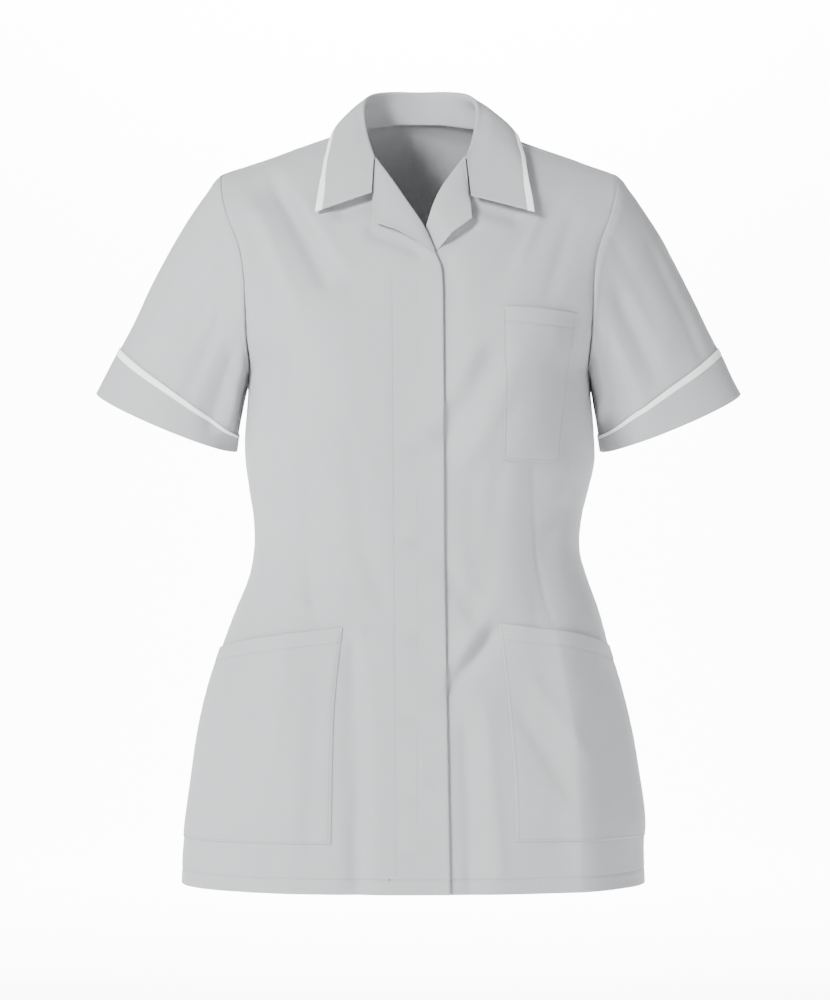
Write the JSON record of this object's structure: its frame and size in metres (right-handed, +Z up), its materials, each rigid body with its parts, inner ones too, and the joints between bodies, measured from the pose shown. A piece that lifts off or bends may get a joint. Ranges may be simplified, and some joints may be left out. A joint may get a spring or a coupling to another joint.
{
  "type": "medical tunic",
  "caption": "Hollow short-sleeved medical tunic with a revere collar, white edging, a lapped front, one chest pocket and hip pockets.",
  "frame": {"origin": "base of the neck: on the centre front line, in the plane of the shoulder seams, level with the neck seam", "axes": "+Z up the garment, the front faces -Y, the wearer's left is at +X"},
  "size_m": [0.6004, 0.2484, 0.7384],
  "materials": {
    "cloth_grey": "matt polyester and cotton twill",
    "edging_white": "matt woven tape"
  },
  "bodies": {
    "root": {"front_right": "cloth_grey", "front_left": "cloth_grey", "back": "cloth_grey", "lapel_right": "cloth_grey", "lapel_left": "cloth_grey", "collar": "cloth_grey", "collar_trim": "edging_white", "sleeve_right": "cloth_grey", "sleeve_left": "cloth_grey", "cuff_trim_right": "edging_white", "cuff_trim_left": "edging_white", "cuff_right": "cloth_grey", "cuff_left": "cloth_grey", "chest_pocket": "cloth_grey", "hip_pocket_right": "cloth_grey", "hip_pocket_left": "cloth_grey"}
  },
  "joints": []
}
